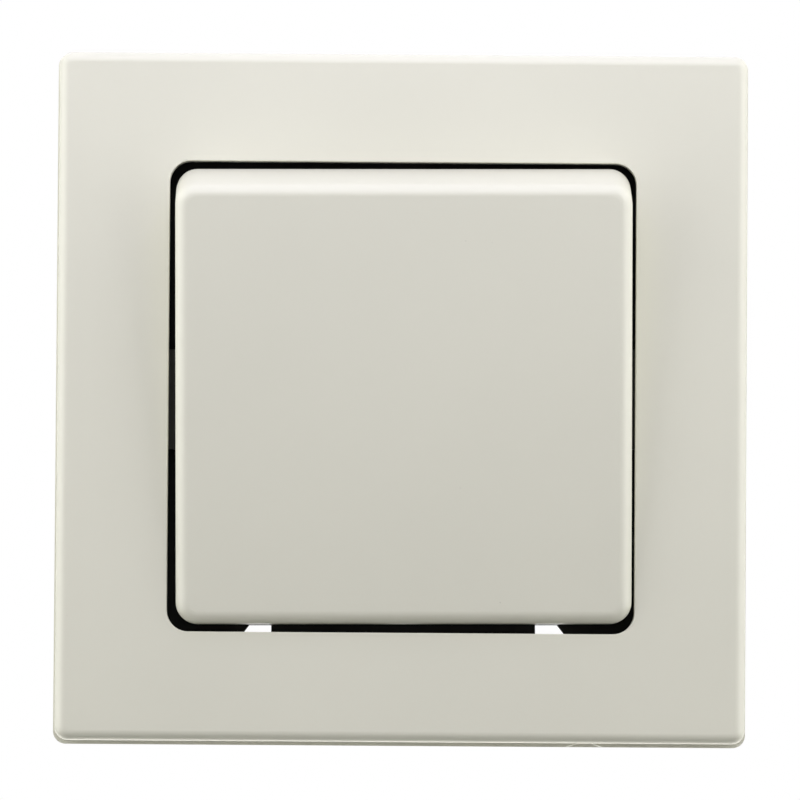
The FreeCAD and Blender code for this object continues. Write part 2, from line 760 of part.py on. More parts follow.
# Contact strips, lever and rivets
def make_contacts():
    half = of("strip_height") / 2
    lever_middle = -finger_middle
    lever_left = lever_middle - of("lever_width") / 2
    lever_right = lever_middle + of("lever_width") / 2
    lever_rear = of("lever_forward") + of("lever_wall")
    axis_y = of("lever_forward") + of("lever_wall") / 2
    axis_z = -of("lever_axis")
    foot_high = axis_z - of("cradle_depth")
    foot_low = foot_high - of("strip_wall")

    common = new_body("common_contact_strip")
    prism(common, "terminal", [rectangle(-strip_outer, -strip_inner, foot_low, half)],
          -strip_end, -of("strip_start"))
    cradle_front = axis_y - of("cradle_width") / 2
    cradle_rear = axis_y + of("cradle_width") / 2
    prism(common, "foot", [rectangle(-strip_outer, lever_right, foot_low, foot_high)], -cradle_rear, -cradle_front)
    bar(common, "cradle", [rectangle(cradle_front, cradle_rear, foot_high, axis_z)], lever_left, lever_right)
    groove = circle(axis_y, axis_z, of("roll_radius") + of("bearing_clearance"))
    cross_bore(common, "groove", [groove], lever_left, lever_right)

    lever = new_body("contact_lever")
    bar(lever, "roll", [circle(axis_y, axis_z, of("roll_radius"))], lever_left, lever_right)
    prism(lever, "blade", [rectangle(lever_left, lever_right, axis_z, of("lever_top"))],
          -lever_rear, -of("lever_forward"))

    rivet_outline = circle(lever_middle, of("rivet_place"), of("rivet_radius"))
    moving = new_body("moving_contact")
    moving_face = lever_rear + of("rivet_height")
    prism(moving, "rivet", [rivet_outline], -moving_face, -lever_rear)

    fixed_face = moving_face + of("contact_gap")
    fixed_seat = fixed_face + of("rivet_height")
    fixed = new_body("fixed_contact")
    prism(fixed, "rivet", [rivet_outline], -fixed_seat, -fixed_face)

    strip = new_body("fixed_contact_strip")
    prism(strip, "terminal", [rectangle(strip_inner, strip_outer, -half, half)],
          -strip_end, -of("strip_start"))
    foot = rectangle(lever_left, strip_outer, of("rivet_place") - of("rivet_radius"), half)
    prism(strip, "foot", [foot], -fixed_seat - of("strip_wall"), -fixed_seat)


# Clamp spring: a bent strip whose free leg springs against the contact strip and grips the wire
def make_clamp_spring(side, level):
    body = new_body("clamp_spring_%s_%s" % (side_names[side], level_names[level]))
    wall = of("clamp_wall")
    outer = insert_half - of("base_wall") - of("clamp_gap")
    tip = strip_outer + of("clamp_gap")
    front, rear = of("clamp_front"), strip_end - of("clamp_inset")
    knee = outer - 3 * wall
    tip_y = front + (knee - tip)
    corners = [(outer, rear), (outer, front + 2 * wall), (knee, front), (tip, tip_y),
               (tip + wall / 2, tip_y + wall), (knee, front + 1.5 * wall),
               (outer - wall, front + 2.5 * wall), (outer - wall, rear)]
    middle = level * of("wire_height")
    column(body, "strip", [polygon([(side * x, y) for x, y in corners])],
           middle - of("clamp_width") / 2, middle + of("clamp_width") / 2)


# Release lever: pushed in from the back, its foot opens both clamp springs of one terminal
def make_release_lever(side):
    body = new_body("release_lever_" + side_names[side])
    foot_front = of("release_foot_front")
    foot_rear = foot_front + of("release_foot")
    collar_end = -base_rear - of("release_stop")
    collar_start = collar_end - of("release_collar_depth")
    button = -terminal_rear + of("release_button")
    span, stem, collar = of("release_span") / 2, of("release_stem") / 2, of("release_collar") / 2
    upper = [(foot_front, span), (foot_rear, span), (foot_rear, stem), (collar_start, stem),
             (collar_start, collar), (collar_end, collar), (collar_end, stem), (button, stem)]
    lower = [(y, -z) for y, z in reversed(upper)]
    far = release_near + of("release_wall")
    left, right = (-far, -release_near) if side < 0 else (release_near, far)
    bar(body, "lever", [polygon(upper + lower)], left, right)


# Spreader claw: bent steel strip on its screw, with a toothed edge that bites into the box
def make_claw(side):
    body = new_body("claw_" + side_names[side])
    wall = of("claw_wall")
    flange, rear = of("claw_flange"), of("claw_flange") + of("claw_wall")
    heel = claw_axis - of("claw_heel")
    bend = claw_axis + of("claw_toe")
    tip = bend + of("claw_spread")
    corners = [(heel, rear), (bend, rear), (tip, of("claw_tip_depth")),
               (tip - wall, of("claw_tip_depth") - wall / 3), (bend - wall, flange), (heel, flange)]
    half = of("claw_width") / 2
    column(body, "strip", [polygon([(side * x, y) for x, y in corners])], -half, half)
    hole = circle(side * claw_axis, 0, of("screw_radius") + of("bearing_clearance"))
    recess(body, "thread", [hole], -rear, -flange)
    # three gaps leave four teeth along the free edge
    tooth = of("claw_tooth")
    near = side * (tip - 2 * wall)
    far = side * (tip + wall)
    gaps = [rectangle(near, far, place_number * 2 * tooth - tooth / 2, place_number * 2 * tooth + tooth / 2)
            for place_number in (-1, 0, 1)]
    recess(body, "teeth", gaps, -of("claw_tip_depth") - tooth, -of("claw_tip_depth") + wall)


# Claw screw: turned, with a cross recess in its cheese head
def make_claw_screw(side):
    body = new_body("claw_screw_" + side_names[side])
    radius, length = of("screw_radius"), of("screw_length")
    point = of("screw_point")
    half_section = polygon([(0, -of("screw_head")), (of("screw_head_radius"), -of("screw_head")),
                            (of("screw_head_radius"), 0), (radius, 0), (radius, length - point),
                            (radius - point / 2, length), (0, length)])
    turned(body, "shank", half_section)
    long, wide = of("screw_recess_span") / 2, of("screw_recess_width") / 2
    cross = polygon([(-long, -wide), (-wide, -wide), (-wide, -long), (wide, -long), (wide, -wide), (long, -wide),
                     (long, wide), (wide, wide), (wide, long), (-wide, long), (-wide, wide), (-long, wide)])
    recess(body, "recess", [cross], of("screw_head") - of("screw_recess"), of("screw_head"))
    stand(body, depth_axis, 0, across=side * claw_axis)


# Return spring: a coil between the cup and the carrier, just clear of the tilted carrier plate
def make_return_spring():
    body = new_body("return_spring")
    tilt = of("rest_tilt")
    outer = of("coil_radius") + of("coil_wire") / 2
    seat = of("pivot_forward") + of("carrier_rear") * cosine(tilt)
    seat = seat + (of("spring_height") - outer) * sine(tilt) - of("coil_gap")
    wire = of("coil_wire") / 2
    length = seat + of("cup_depth") - 2 * of("coil_gap") - of("coil_wire")
    start = of("cup_depth") - wire - of("coil_gap")
    corners = []
    for i in range(4):
        turn = math.pi / 2 * i
        corners.append((of("coil_radius") + wire * math.cos(turn), start + wire * math.sin(turn)))
    sketch = new_sketch(body, "wire", [polygon(corners)], "XY_Plane", 0)
    coil = body.newObject("PartDesign::AdditiveHelix", "return_spring_coil")
    coil.Profile = sketch
    coil.ReferenceAxis = (sketch, ["V_Axis"])
    coil.Mode = "height-turns-angle"
    bind(coil, "Height", length)
    bind(coil, "Turns", of("coil_turns"))
    coil.Reversed = True
    stand(body, depth_axis, 0, across=of("spring_place"), up=of("spring_height"))


make_cover_frame()
make_rocker()
make_rocker_carrier()
make_bearing_cover()
make_support_ring()
make_base_housing()
make_terminal_cover()
make_contacts()
make_return_spring()
for side in signs:
    make_release_lever(side)
    make_claw(side)
    make_claw_screw(side)
    for level in signs:
        make_clamp_spring(side, level)
doc.recompute()

# Nothing is written unless every object is sound
faults = [o.Name for o in doc.Objects if "Invalid" in o.State or "Error" in o.State]
for body in bodies:
    shape = body.Shape
    if shape.isNull() or not shape.isValid() or not shape.Solids:
        faults.append(body.Label)
if faults:
    raise RuntimeError("failed: " + ", ".join(faults))

os.makedirs("parts", exist_ok=True)
for body in bodies:
    body.Shape.exportStep("parts/%s.step" % body.Label)
    print(body.Label, len(body.Shape.Solids), round(body.Shape.Volume, 2))
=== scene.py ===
import bpy
import bmesh
import math
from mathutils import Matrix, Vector


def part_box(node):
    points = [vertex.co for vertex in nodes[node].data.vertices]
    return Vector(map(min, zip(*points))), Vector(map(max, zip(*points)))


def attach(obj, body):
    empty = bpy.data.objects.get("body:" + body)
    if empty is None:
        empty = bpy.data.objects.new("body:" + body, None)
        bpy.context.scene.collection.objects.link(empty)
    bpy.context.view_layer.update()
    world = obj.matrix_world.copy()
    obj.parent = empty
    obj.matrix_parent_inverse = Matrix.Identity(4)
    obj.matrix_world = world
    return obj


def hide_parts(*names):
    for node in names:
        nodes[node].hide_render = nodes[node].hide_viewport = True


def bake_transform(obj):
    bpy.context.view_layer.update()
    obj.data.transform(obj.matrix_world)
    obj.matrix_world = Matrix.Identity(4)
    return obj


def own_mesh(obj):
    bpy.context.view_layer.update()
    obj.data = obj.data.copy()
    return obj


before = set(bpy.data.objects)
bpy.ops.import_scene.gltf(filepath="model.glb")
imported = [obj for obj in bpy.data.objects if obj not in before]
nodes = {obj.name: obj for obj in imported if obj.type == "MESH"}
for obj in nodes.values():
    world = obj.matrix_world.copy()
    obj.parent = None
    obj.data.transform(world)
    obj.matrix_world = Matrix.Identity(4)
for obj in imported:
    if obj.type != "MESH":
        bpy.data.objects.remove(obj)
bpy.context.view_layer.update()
print("frame loaded:", len(nodes), "nodes")

scene = bpy.context.scene
scene.view_settings.view_transform = "Standard"
mm = 0.001  # metres in a millimetre


# node helpers: a number is set on the socket, a socket is linked to it
def feed(tree, source, target):
    if isinstance(source, (int, float)):
        target.default_value = source
    else:
        tree.links.new(source, target)


def mathNode(tree, operation, a, b, clamp=False):
    node = tree.nodes.new("ShaderNodeMath")
    node.operation = operation
    node.use_clamp = clamp
    feed(tree, a, node.inputs[0])
    feed(tree, b, node.inputs[1])
    return node.outputs[0]


# raises the contrast of a value above low, kept between 0 and 1
def sharpen(tree, value, low, gain):
    return mathNode(tree, "MULTIPLY", mathNode(tree, "SUBTRACT", value, low), gain, clamp=True)


# lets a value between 0 and 1 move another one around its base
def swing(tree, value, spread, base):
    offset = mathNode(tree, "MULTIPLY", mathNode(tree, "SUBTRACT", value, 0.5), spread)
    return mathNode(tree, "ADD", offset, base)


def blendColour(tree, share, first, second):
    node = tree.nodes.new("ShaderNodeMix")
    node.data_type = "RGBA"
    feed(tree, share, node.inputs["Factor"])
    for source, target in ((first, node.inputs[6]), (second, node.inputs[7])):
        if isinstance(source, (tuple, list)):
            target.default_value = (*source, 1)
        else:
            tree.links.new(source, target)
    return node.outputs[2]


def newGroup(name, inputs, outputs):
    group = bpy.data.node_groups.new(name, "ShaderNodeTree")
    for label, value in inputs.items():
        socket = group.interface.new_socket(label, in_out="INPUT", socket_type="NodeSocketFloat")
        socket.default_value = value
    for label in outputs:
        group.interface.new_socket(label, in_out="OUTPUT", socket_type="NodeSocketFloat")
    return group, group.nodes.new("NodeGroupInput"), group.nodes.new("NodeGroupOutput")


def noiseNode(tree, vector, scale, detail):
    node = tree.nodes.new("ShaderNodeTexNoise")
    node.inputs["Detail"].default_value = detail
    tree.links.new(vector, node.inputs["Vector"])
    feed(tree, scale, node.inputs["Scale"])
    return node.outputs[0]


def objectCoords(tree):
    return tree.nodes.new("ShaderNodeTexCoord").outputs["Object"]


# moulded skin: fine height for the bump, slow cloud for tint and gloss
def makeMouldGrain():
    group, entry, leave = newGroup("mouldGrain", {"Grain": 3000.0, "Cloud": 45.0}, ["Height", "Cloud"])
    coords = objectCoords(group)
    group.links.new(noiseNode(group, coords, entry.outputs["Grain"], 3.0), leave.inputs["Height"])
    group.links.new(noiseNode(group, coords, entry.outputs["Cloud"], 4.0), leave.inputs["Cloud"])
    return group


# handling along sharp edges, broken up so that it never runs as an even line
def makeEdgeRub():
    group, entry, leave = newGroup("edgeRub", {"Radius": 0.0003, "Breakup": 350.0}, ["Mask"])
    bevel = group.nodes.new("ShaderNodeBevel")
    bevel.samples = 4
    group.links.new(entry.outputs["Radius"], bevel.inputs["Radius"])
    surface = group.nodes.new("ShaderNodeNewGeometry")
    dot = group.nodes.new("ShaderNodeVectorMath")
    dot.operation = "DOT_PRODUCT"
    group.links.new(bevel.outputs[0], dot.inputs[0])
    group.links.new(surface.outputs["Normal"], dot.inputs[1])
    turn = mathNode(group, "SUBTRACT", 1.0, dot.outputs["Value"])
    edgeGain = 6.0
    sharp = mathNode(group, "MULTIPLY", turn, edgeGain, clamp=True)
    broken = noiseNode(group, objectCoords(group), entry.outputs["Breakup"], 5.0)
    broken = sharpen(group, broken, low=0.3, gain=2.5)
    group.links.new(mathNode(group, "MULTIPLY", sharp, broken), leave.inputs["Mask"])
    return group


# scattered dust specks, a few on each square centimetre
def makeDustSpecks():
    group, entry, leave = newGroup("dustSpecks", {"Scale": 260.0, "Size": 0.022}, ["Mask"])
    cells = group.nodes.new("ShaderNodeTexVoronoi")
    group.links.new(objectCoords(group), cells.inputs["Vector"])
    group.links.new(entry.outputs["Scale"], cells.inputs["Scale"])
    inside = mathNode(group, "LESS_THAN", cells.outputs["Distance"], entry.outputs["Size"])
    split = group.nodes.new("ShaderNodeSeparateColor")
    group.links.new(cells.outputs["Color"], split.inputs[0])
    emptyShare = 0.6
    chosen = mathNode(group, "GREATER_THAN", split.outputs[0], emptyShare)
    faint = mathNode(group, "MULTIPLY", chosen, split.outputs[1])
    group.links.new(mathNode(group, "MULTIPLY", inside, faint), leave.inputs["Mask"])
    return group


# rolled sheet and drawn wire: long fine lines, with a slow stain over them
def makeRolledLines():
    group, entry, leave = newGroup("rolledLines", {"Lines": 900.0, "Stain": 160.0}, ["Lines", "Stain"])
    coords = objectCoords(group)
    stretch = group.nodes.new("ShaderNodeMapping")
    stretch.inputs["Scale"].default_value = (1.0, 0.06, 1.0)  # lines run into the wall
    group.links.new(coords, stretch.inputs["Vector"])
    group.links.new(noiseNode(group, stretch.outputs[0], entry.outputs["Lines"], 2.0), leave.inputs["Lines"])
    group.links.new(noiseNode(group, coords, entry.outputs["Stain"], 5.0), leave.inputs["Stain"])
    return group


mouldGrain, edgeRub = makeMouldGrain(), makeEdgeRub()
dustSpecks, rolledLines = makeDustSpecks(), makeRolledLines()


def useGroup(tree, group, values):
    node = tree.nodes.new("ShaderNodeGroup")
    node.node_tree = group
    for label, value in values.items():
        node.inputs[label].default_value = value
    return node.outputs


def newMaterial(name):
    material = bpy.data.materials.new(name)
    material.use_nodes = True
    return material, material.node_tree, material.node_tree.nodes["Principled BSDF"]


def shade(colour, factor):
    return tuple(min(1.0, c * factor) for c in colour)


# lays a colour over the tint where a mask is, as far as amount says
def cover(tree, tint, mask, amount, colour):
    return blendColour(tree, mathNode(tree, "MULTIPLY", mask, amount), tint, colour)


bumpDepth = 0.00002


def addBump(tree, shader, height, strength):
    bump = tree.nodes.new("ShaderNodeBump")
    bump.inputs["Strength"].default_value = strength
    bump.inputs["Distance"].default_value = bumpDepth
    tree.links.new(height, bump.inputs["Height"])
    tree.links.new(bump.outputs[0], shader.inputs["Normal"])


def mouldedPlastic(name, finish):
    material, tree, shader = newMaterial(name)
    skin = useGroup(tree, mouldGrain, {"Grain": finish["grain"], "Cloud": finish["cloud"]})
    rub = useGroup(tree, edgeRub, {"Radius": finish["rubRadius"], "Breakup": finish["breakup"]})["Mask"]
    dust = useGroup(tree, dustSpecks, {"Scale": finish["dustScale"], "Size": finish["dustSize"]})["Mask"]
    colour, drift = finish["colour"], finish["drift"]
    cloud = sharpen(tree, skin["Cloud"], low=0.3, gain=2.5)
    tint = blendColour(tree, cloud, shade(colour, 1 - drift), shade(colour, 1 + drift))
    tint = cover(tree, tint, dust, finish["dust"], shade(colour, finish["dustShade"]))
    tint = cover(tree, tint, rub, finish["rub"], shade(colour, finish["rubShade"]))
    tree.links.new(tint, shader.inputs["Base Color"])
    rough = swing(tree, skin["Cloud"], finish["roughSpread"], finish["rough"])
    rough = mathNode(tree, "SUBTRACT", rough, mathNode(tree, "MULTIPLY", rub, finish["polish"]))
    tree.links.new(rough, shader.inputs["Roughness"])
    addBump(tree, shader, skin["Height"], finish["bump"])
    return material


def stampedMetal(name, finish):
    material, tree, shader = newMaterial(name)
    sheet = useGroup(tree, rolledLines, {"Lines": finish["lines"], "Stain": finish["stainScale"]})
    rub = useGroup(tree, edgeRub, {"Radius": finish["rubRadius"], "Breakup": finish["breakup"]})["Mask"]
    colour, drift = finish["colour"], finish["drift"]
    tint = blendColour(tree, sheet["Lines"], shade(colour, 1 - drift), shade(colour, 1 + drift))
    stain = sharpen(tree, sheet["Stain"], low=0.45, gain=3.0)
    tint = cover(tree, tint, stain, finish["stain"], finish["stainColour"])
    tint = cover(tree, tint, rub, finish["rub"], shade(colour, finish["rubShade"]))
    tree.links.new(tint, shader.inputs["Base Color"])
    rough = swing(tree, sheet["Lines"], finish["roughSpread"], finish["rough"])
    rough = mathNode(tree, "ADD", rough, mathNode(tree, "MULTIPLY", stain, finish["stainRough"]))
    rough = mathNode(tree, "SUBTRACT", rough, mathNode(tree, "MULTIPLY", rub, finish["polish"]))
    tree.links.new(rough, shader.inputs["Roughness"])
    shader.inputs["Metallic"].default_value = 1.0
    addBump(tree, shader, sheet["Lines"], finish["bump"])
    return material


# painted shade: a near-black skin that stands in for the deep shade inside the gap around the button, rubbed through
# to bare steel along its edges
def paintedShadeSheet(name, finish):
    material, tree, shader = newMaterial(name)
    sheet = useGroup(tree, rolledLines, {"Lines": finish["lines"], "Stain": finish["stainScale"]})
    rub = useGroup(tree, edgeRub, {"Radius": finish["rubRadius"], "Breakup": finish["breakup"]})["Mask"]
    bare = mathNode(tree, "MULTIPLY", rub, finish["rub"])
    thin, thick = finish["shadeTones"]
    tint = blendColour(tree, sheet["Stain"], shade(finish["colour"], thin), shade(finish["colour"], thick))
    tree.links.new(blendColour(tree, bare, tint, finish["bareColour"]), shader.inputs["Base Color"])
    tree.links.new(bare, shader.inputs["Metallic"])
    shader.inputs["Specular IOR Level"].default_value = finish["specular"]
    rough = swing(tree, sheet["Stain"], finish["roughSpread"], finish["rough"])
    tree.links.new(rough, shader.inputs["Roughness"])
    addBump(tree, shader, sheet["Lines"], finish["bump"])
    return material


def dress(names, material):
    for name in names:
        nodes[name].data.materials.clear()
        nodes[name].data.materials.append(material)


plainMould = {"grain": 3000.0, "cloud": 45.0, "drift": 0.012, "rough": 0.36, "roughSpread": 0.12, "bump": 0.25,
              "dustScale": 260.0, "dustSize": 0.022, "dust": 0.3, "dustShade": 0.35, "rub": 0.12, "rubShade": 1.3,
              "rubRadius": 0.0003, "breakup": 350.0, "polish": 0.05}
plainSheet = {"lines": 900.0, "stainScale": 160.0, "stain": 0.25, "stainColour": (0.2, 0.18, 0.15), "drift": 0.1,
              "rough": 0.34, "roughSpread": 0.2, "stainRough": 0.15, "rub": 0.5, "rubShade": 1.35,
              "rubRadius": 0.0002, "breakup": 600.0, "polish": 0.12, "bump": 0.3}

frameFinish = dict(plainMould, colour=(0.70, 0.692, 0.605))
dress(["cover_frame"], mouldedPlastic("frameCream", frameFinish))

buttonFinish = dict(plainMould, colour=(0.70, 0.692, 0.605), cloud=38.0)
dress(["rocker"], mouldedPlastic("buttonCream", buttonFinish))

carrierFinish = dict(plainMould, colour=(0.45, 0.45, 0.43), rough=0.5, drift=0.03)
dress(["rocker_carrier"], mouldedPlastic("carrierGrey", carrierFinish))

bearingFinish = dict(plainMould, colour=(0.07, 0.068, 0.056), rough=0.5, drift=0.06, rub=0.2)
dress(["bearing_cover"], mouldedPlastic("bearingDarkGrey", bearingFinish))

baseFinish = dict(plainMould, colour=(0.62, 0.62, 0.6), rough=0.52, drift=0.03, bump=0.4, grain=1800.0, rub=0.2)
dress(["base_housing", "terminal_cover"], mouldedPlastic("basePaleGrey", baseFinish))

releaseFinish = dict(plainMould, colour=(0.62, 0.17, 0.03), rough=0.42, drift=0.05, rub=0.2)
dress(["release_lever_left", "release_lever_right"], mouldedPlastic("releaseOrange", releaseFinish))

# support ring: its near-black colour is painted shade for the dark gap around the button
ringShadeFinish = dict(plainSheet, colour=(0.008, 0.008, 0.007), shadeTones=(0.7, 1.4), rough=0.6, specular=0.2, rub=0.25,
                  breakup=500.0, bareColour=(0.3, 0.29, 0.28))
dress(["support_ring"], paintedShadeSheet("ringPaintedShade", ringShadeFinish))

clawFinish = dict(plainSheet, colour=(0.42, 0.4, 0.33), rough=0.42, stain=0.35, stainColour=(0.3, 0.26, 0.18))
dress(["claw_left", "claw_right"], stampedMetal("clawZinc", clawFinish))

stripFinish = dict(plainSheet, colour=(0.66, 0.46, 0.18), rough=0.3, stainColour=(0.3, 0.18, 0.06))
dress(["common_contact_strip", "fixed_contact_strip"], stampedMetal("stripBrass", stripFinish))

leverFinish = dict(stripFinish, colour=(0.6, 0.42, 0.18))
dress(["contact_lever"], stampedMetal("leverBrass", leverFinish))

contactFinish = dict(plainSheet, colour=(0.75, 0.74, 0.7), rough=0.25, stain=0.15)
dress(["moving_contact", "fixed_contact"], stampedMetal("contactSilver", contactFinish))
print("finishes set")


# mesh helpers for the turned, wound and bent pieces
weldDistance = 1e-6


def finishMesh(bm, name, sharpAngle):
    bmesh.ops.remove_doubles(bm, verts=bm.verts, dist=weldDistance)
    bmesh.ops.dissolve_degenerate(bm, edges=bm.edges, dist=weldDistance)
    bmesh.ops.recalc_face_normals(bm, faces=bm.faces)
    mesh = bpy.data.meshes.new(name)
    bm.to_mesh(mesh)
    bm.free()
    mesh.polygons.foreach_set("use_smooth", [True] * len(mesh.polygons))
    mesh.set_sharp_from_angle(angle=math.radians(sharpAngle))
    piece = bpy.data.objects.new(name, mesh)
    scene.collection.objects.link(piece)
    return piece


def addRing(bm, radius, depth, around):
    ring = []
    for step in range(around):
        angle = 2 * math.pi * step / around
        ring.append(bm.verts.new((radius * math.cos(angle), depth, radius * math.sin(angle))))
    return ring


def joinRings(bm, first, second):
    around = len(first)
    for step in range(around):
        after = (step + 1) % around
        bm.faces.new((first[step], first[after], second[after], second[step]))


# skins a row of loops and closes both ends
def skinLoops(bm, loops):
    for first, second in zip(loops, loops[1:]):
        joinRings(bm, first, second)
    bm.faces.new(loops[0])
    bm.faces.new(loops[-1])


# takes a screw's mesh from millimetres on the Y axis to metres on its own axis
def setOnAxis(bm, side, size):
    bmesh.ops.scale(bm, vec=(mm, mm, mm), verts=bm.verts)
    bmesh.ops.translate(bm, vec=(side * size["axis"] * mm, 0, 0), verts=bm.verts)


# claw screw: domed head, cross recess and a rolled thread, in millimetres
screwSize = {"axis": 24.0, "headRadius": 2.5, "headHeight": 2.2, "headRound": 0.35, "rimSteps": 4, "crown": 0.25,
             "crownShare": 0.9, "neck": 1.3, "neckShare": 0.5, "major": 1.5, "minor": 1.18, "pitch": 0.5,
             "threadStart": 1.4, "threadEnd": 17.5, "tip": 18.5, "tipRadius": 0.7, "around": 28,
             "recessSpan": 3.4, "recessWidth": 0.8, "recessDepth": 1.2, "recessOver": 0.5, "recessTaper": 0.72}


def addThread(bm, size):
    around, pitch = size["around"], size["pitch"]
    start, end = size["threadStart"], size["threadEnd"]
    root, crest = size["minor"], size["major"]
    form = ((0.0, root), (0.12, root), (0.5, crest), (0.62, crest))  # share of the pitch, radius
    turns = int((end - start) / pitch) + 3  # spare turns, held back at both ends
    rows = []
    for turn in range(turns):
        for share, radius in form:
            row = []
            for step in range(around):
                along = start + pitch * (turn - 1 + share + step / around)
                depth = min(max(along, start), end)
                fade = min(1.0, (depth - start) / pitch, (end - depth) / pitch)  # thread runs out at both ends
                reach = root + (radius - root) * fade
                angle = 2 * math.pi * step / around
                row.append(bm.verts.new((reach * math.cos(angle), depth, reach * math.sin(angle))))
            rows.append(row)
    perTurn = len(form)
    for index in range(len(rows) - 1):
        lower, upper = rows[index], rows[index + 1]
        for step in range(around - 1):
            bm.faces.new((lower[step], lower[step + 1], upper[step + 1], upper[step]))
        if index + 1 + perTurn < len(rows):  # the last step meets the next turn
            bm.faces.new((lower[-1], rows[index + perTurn][0], rows[index + 1 + perTurn][0], upper[-1]))


def makeScrew(name, side, size):
    bm = bmesh.new()
    around, top = size["around"], -size["headHeight"]
    edge, crown, rimSteps = size["headRound"], size["crown"], size["rimSteps"]
    flat = size["headRadius"] - edge
    profile = [(size["crownShare"] * flat, top)]
    for step in range(rimSteps + 1):  # rolled-over rim of the head
        turn = math.pi / 2 * step / rimSteps
        profile.append((flat + edge * math.sin(turn), top + crown + edge - edge * math.cos(turn)))
    profile += [(size["headRadius"], 0.0), (size["neck"], 0.0),
                (size["neck"], size["neckShare"] * size["threadStart"]), (size["minor"], size["threadStart"])]
    rings = [addRing(bm, radius, depth, around) for radius, depth in profile]
    bm.faces.new(rings[0])
    for first, second in zip(rings, rings[1:]):
        joinRings(bm, first, second)
    addThread(bm, size)
    tail = [addRing(bm, size["minor"], size["threadEnd"], around), addRing(bm, size["tipRadius"], size["tip"], around)]
    joinRings(bm, *tail)
    bm.faces.new(tail[-1])
    setOnAxis(bm, side, size)
    screw = finishMesh(bm, name, sharpAngle=32)
    cutRecess(screw, side, size)
    return screw


def cutRecess(screw, side, size):
    bm = bmesh.new()
    high, low = -size["headHeight"] - size["recessOver"], -size["headHeight"] + size["recessDepth"]
    caps = []
    for depth, shrink in ((high, 1.0), (low, size["recessTaper"])):  # wings narrow towards the floor
        span, wide = size["recessSpan"] / 2 * shrink, size["recessWidth"] / 2
        outline = [(-span, -wide), (-wide, -wide), (-wide, -span), (wide, -span), (wide, -wide), (span, -wide),
                   (span, wide), (wide, wide), (wide, span), (-wide, span), (-wide, wide), (-span, wide)]
        caps.append([bm.verts.new((x, depth, z)) for x, z in outline])
    skinLoops(bm, caps)
    setOnAxis(bm, side, size)
    cutter = finishMesh(bm, "recessCutter", sharpAngle=20)
    cut = screw.modifiers.new("recess", "BOOLEAN")
    cut.operation = "DIFFERENCE"
    cut.solver = "EXACT"
    cut.object = cutter
    bpy.context.view_layer.objects.active = screw
    bpy.ops.object.modifier_apply(modifier="recess")
    bpy.data.objects.remove(cutter)


screwFinish = dict(plainSheet, colour=(0.44, 0.43, 0.4), rough=0.34, rub=0.3, stain=0.3, stainColour=(0.33, 0.3, 0.2))
screwZinc = stampedMetal("screwZinc", screwFinish)
for word, side in (("left", -1), ("right", 1)):
    screw = makeScrew("threaded_screw_" + word, side, screwSize)
    screw.data.materials.append(screwZinc)
    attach(screw, "claw_screw_" + word)
    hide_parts("claw_screw_" + word)
print("screws threaded")


# return spring: round wire with closed ends, in millimetres
springSize = {"centre": (6.0, 9.0), "radius": 2.2, "wire": 0.25, "turns": 6.5, "endTurns": 1.2, "endPitch": 0.52,
              "steps": 26, "sides": 10, "keep": 0.8}


def makeSpring(name, size, rear, front):
    bm = bmesh.new()
    wire, radius, steps = size["wire"], size["radius"], size["steps"]
    turns, ends = size["turns"], size["endTurns"]
    span = (rear - front) - 2 * wire - 2 * ends * size["endPitch"]
    lift = [0.0]
    for step in range(int(turns * steps)):
        turn = (step + 0.5) / steps
        closed = turn < ends or turn > turns - ends
        pitch = size["endPitch"] if closed else span / (turns - 2 * ends)
        lift.append(lift[-1] + pitch / steps)
    scale = (rear - front - 2 * wire) / lift[-1]
    loops = []
    for step, rise in enumerate(lift):
        angle = 2 * math.pi * step / steps
        out = Vector((math.cos(angle), 0, math.sin(angle)))
        core = Vector((size["centre"][0], rear - wire - rise * scale, size["centre"][1])) + out * radius
        loop = []
        for side in range(size["sides"]):
            turn = 2 * math.pi * side / size["sides"]
            loop.append(bm.verts.new(core + out * wire * math.cos(turn) + Vector((0, wire * math.sin(turn), 0))))
        loops.append(loop)
    skinLoops(bm, loops)
    bmesh.ops.scale(bm, vec=(mm, mm, mm), verts=bm.verts)
    return finishMesh(bm, name, sharpAngle=50)


springLow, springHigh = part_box("return_spring")
spring = makeSpring("wound_spring", springSize, springHigh[1] / mm, springLow[1] / mm)
springFinish = dict(plainSheet, colour=(0.42, 0.42, 0.42), rough=0.3)
spring.data.materials.append(stampedMetal("springSteel", springFinish))
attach(spring, "housing")
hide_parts("return_spring")
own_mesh(spring)
print("spring wound")


# clamp springs: a bent strip whose free leg gives way to the release lever's foot, in millimetres
clampSize = {"outer": 18.5, "rear": 15.0, "front": 4.2, "wall": 0.4, "bend": 0.636, "bendAngle": -135, "tip": 12.95,
             "level": 5.0, "width": 3.6, "chamfer": 0.06, "bendSteps": 10, "legSteps": 14, "held": 17.5, "free": 15.9}


def makeClamp(name, side, level, size):
    bm = bmesh.new()
    half, bend, reach = size["wall"] / 2, size["bend"], size["width"] / 2
    bendDepth = size["front"] + half + bend
    path = [(size["outer"], size["rear"], 0.0)]
    for step in range(size["bendSteps"] + 1):
        turn = math.radians(size["bendAngle"]) * step / size["bendSteps"]
        path.append((size["outer"] - bend + bend * math.cos(turn), bendDepth + bend * math.sin(turn), turn))
    kneeX, kneeY, turn = path[-1]
    for step in range(1, size["legSteps"] + 1):
        run = (kneeX - size["tip"]) * step / size["legSteps"]
        path.append((kneeX - run, kneeY + run, turn))
    inset, trim = 1 - size["chamfer"] / half, 1 - size["chamfer"] / reach
    outline = [(1, -trim), (1, trim), (inset, 1), (-inset, 1), (-1, trim), (-1, -trim), (-inset, -1), (inset, -1)]
    loops = []
    for across, depth, turn in path:
        loop = []
        for out, rise in outline:
            point = Vector((side * (across + out * half * math.cos(turn)), depth + out * half * math.sin(turn),
                            level * size["level"] + rise * reach))
            loop.append(bm.verts.new(point * mm))
        loops.append(loop)
    skinLoops(bm, loops)
    return finishMesh(bm, name, sharpAngle=30)


